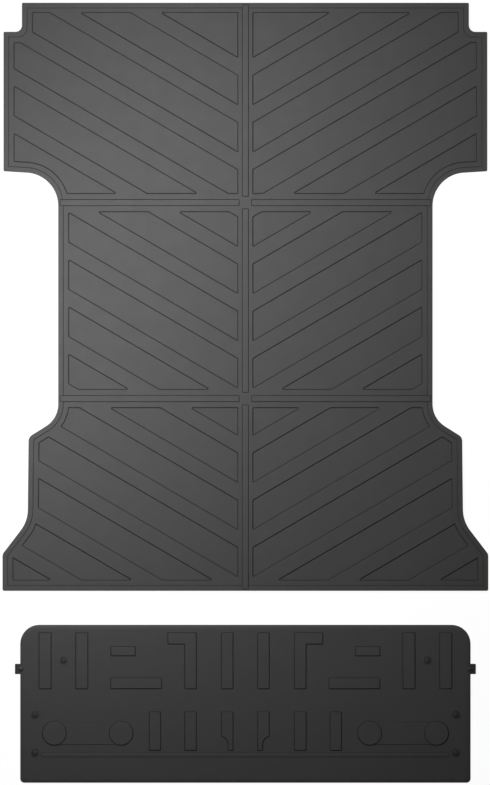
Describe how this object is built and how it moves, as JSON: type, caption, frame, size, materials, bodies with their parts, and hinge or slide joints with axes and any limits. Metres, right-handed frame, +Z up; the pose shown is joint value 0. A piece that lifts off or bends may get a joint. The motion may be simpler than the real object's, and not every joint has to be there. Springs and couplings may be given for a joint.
{
  "type": "truck bed liner",
  "caption": "Flat moulded liner set for a pickup: a chevron-ribbed bed mat with wheelhouse cut-outs, and a padded tailgate mat with screw cups, caps and side tabs.",
  "frame": {"origin": "on the floor under the two mats, in the middle of their common length and width", "axes": "+X across the truck to its right side, +Y to the cab, +Z up out of the mats' top faces"},
  "size_m": [1.639, 2.632, 0.0115],
  "materials": {
    "bed_rubber": "charcoal moulded rubber, satin, fine-grained",
    "tailgate_rubber": "charcoal moulded rubber, satin, fine-grained",
    "black_nylon": "black moulded nylon, satin",
    "black_steel": "black coated steel, satin"
  },
  "bodies": {
    "bed_mat": {"bed_mat": "bed_rubber"},
    "tailgate_mat": {"tailgate_mat": "tailgate_rubber", "screw_cup_left_1": "black_nylon", "screw_cup_left_2": "black_nylon", "screw_cup_left_3": "black_nylon", "screw_cup_right_1": "black_nylon", "screw_cup_right_2": "black_nylon", "screw_cup_right_3": "black_nylon", "side_tab_left": "black_nylon", "side_tab_right": "black_nylon", "tab_rivet_left": "black_steel", "tab_rivet_right": "black_steel", "rivet_washer_left": "black_steel", "rivet_washer_right": "black_steel"},
    "snap_cap_left_1": {"snap_cap_left_1": "black_nylon"},
    "snap_cap_left_2": {"snap_cap_left_2": "black_nylon"},
    "snap_cap_left_3": {"snap_cap_left_3": "black_nylon"},
    "snap_cap_right_1": {"snap_cap_right_1": "black_nylon"},
    "snap_cap_right_2": {"snap_cap_right_2": "black_nylon"},
    "snap_cap_right_3": {"snap_cap_right_3": "black_nylon"}
  },
  "joints": [
    {"name": "tailgate_swing", "type": "hinge", "parent": "bed_mat", "child": "tailgate_mat", "pos_m": [0, -0.7255, 0], "axis": [-1, 0, 0], "range_deg": [0, 90]},
    {"name": "cap_lift_left_1", "type": "slide", "parent": "tailgate_mat", "child": "snap_cap_left_1", "axis": [0, 0, 1], "range_m": [0, 0.02]},
    {"name": "cap_lift_left_2", "type": "slide", "parent": "tailgate_mat", "child": "snap_cap_left_2", "axis": [0, 0, 1], "range_m": [0, 0.02]},
    {"name": "cap_lift_left_3", "type": "slide", "parent": "tailgate_mat", "child": "snap_cap_left_3", "axis": [0, 0, 1], "range_m": [0, 0.02]},
    {"name": "cap_lift_right_1", "type": "slide", "parent": "tailgate_mat", "child": "snap_cap_right_1", "axis": [0, 0, 1], "range_m": [0, 0.02]},
    {"name": "cap_lift_right_2", "type": "slide", "parent": "tailgate_mat", "child": "snap_cap_right_2", "axis": [0, 0, 1], "range_m": [0, 0.02]},
    {"name": "cap_lift_right_3", "type": "slide", "parent": "tailgate_mat", "child": "snap_cap_right_3", "axis": [0, 0, 1], "range_m": [0, 0.02]}
  ]
}
